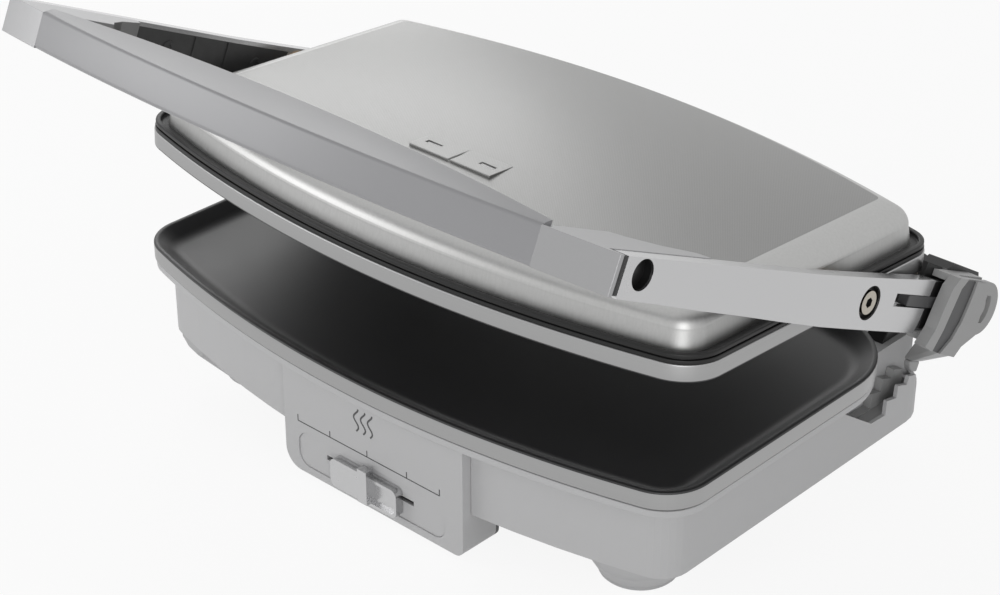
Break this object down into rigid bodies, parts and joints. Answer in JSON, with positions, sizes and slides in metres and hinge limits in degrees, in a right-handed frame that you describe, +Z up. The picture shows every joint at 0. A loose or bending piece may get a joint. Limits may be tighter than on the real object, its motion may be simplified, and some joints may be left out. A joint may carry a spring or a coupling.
{
  "type": "sandwich press",
  "caption": "Contact press with bowed plates, a lid hung between the arms of a swinging U-shaped handle, a height clip over a stepped rack and a sliding heat control.",
  "frame": {"origin": "on the table, midway between the four feet", "axes": "+X to the right seen from the front, +Y to the hinge at the back, +Z up"},
  "size_m": [0.3785, 0.3061, 0.2285],
  "materials": {
    "painted": "fine satin paint, light silver grey",
    "band_aluminium": "cast aluminium, black non-stick recess, brushed bright band",
    "cast_aluminium": "lightly brushed casting",
    "steel_sheet": "fine brushed stainless sheet",
    "hidden_steel": "plain",
    "fastener": "plated",
    "black_plastic": "satin black moulding",
    "dark_grey_plastic": "satin",
    "gasket_rubber": "matte",
    "foot_plastic": "satin, soft pad",
    "grip_paint": "smooth satin silver paint",
    "bronze": "sintered bush",
    "board": "circuit board",
    "ceramic": "ceramic and plated metal",
    "lens": "dark tinted lens"
  },
  "bodies": {
    "base": {"base_housing": "painted", "bottom_cover": "dark_grey_plastic", "base_frame": "painted", "plate_gasket": "gasket_rubber", "lower_plate": "band_aluminium", "lower_heating_element": "hidden_steel", "lower_heat_shield": "hidden_steel", "lower_thermostat": "ceramic", "thermal_fuse": "ceramic", "terminal_block": "ceramic", "cord_gland": "black_plastic", "control_panel": "painted", "slider_track": "cast_aluminium", "control_back_cover": "dark_grey_plastic", "control_board": "board", "slide_potentiometer": "ceramic", "step_rack": "black_plastic", "hinge_post_left": "black_plastic", "hinge_post_right": "black_plastic", "hinge_pin_left": "fastener", "hinge_pin_right": "fastener", "feet": "foot_plastic", "foot_screws": "fastener", "housing_screws": "fastener"},
    "slider": {"slider_knob": "cast_aluminium", "slider_carriage": "black_plastic"},
    "handle": {"handle_grip": "grip_paint", "handle_corner_left": "cast_aluminium", "handle_corner_right": "cast_aluminium", "corner_spacers": "black_plastic", "arm_left": "cast_aluminium", "arm_right": "cast_aluminium", "arm_screws": "fastener", "hinge_knuckle_left": "black_plastic", "hinge_knuckle_right": "black_plastic", "hinge_bushes": "bronze", "pivot_screws": "fastener", "pivot_washers": "fastener"},
    "height_clip_body": {"height_clip": "painted", "clip_foot": "painted", "clip_tongue": "dark_grey_plastic", "clip_grip_pad": "dark_grey_plastic"},
    "lid": {"lid_cover": "steel_sheet", "lid_rim": "black_plastic", "upper_plate": "band_aluminium", "upper_heating_element": "hidden_steel", "upper_heat_shield": "hidden_steel", "upper_thermostat": "ceramic", "lid_bush_left": "bronze", "lid_bush_right": "bronze", "lamp_panel": "painted", "lamp_lenses": "lens", "lamp_board": "board"}
  },
  "joints": [
    {"name": "handle_swing", "type": "hinge", "parent": "base", "child": "handle", "pos_m": [0, 0.1064, 0.0917], "axis": [-1, 0, 0], "range_deg": [-25, 65]},
    {"name": "lid_tilt", "type": "hinge", "parent": "handle", "child": "lid", "pos_m": [0, 0.01011, 0.12821], "axis": [1, 0, 0], "range_deg": [-21.5, 55.8]},
    {"name": "height_clip_slide", "type": "slide", "parent": "handle", "child": "height_clip_body", "axis": [0, -0.9063, 0.4226], "range_m": [0, 0.01]},
    {"name": "temperature_slide", "type": "slide", "parent": "base", "child": "slider", "axis": [1, 0, 0], "range_m": [-0.022, 0.022]}
  ],
  "couplings": [
    {"joint": "lid_tilt", "follows": "handle_swing", "ratio": 0.852}
  ]
}
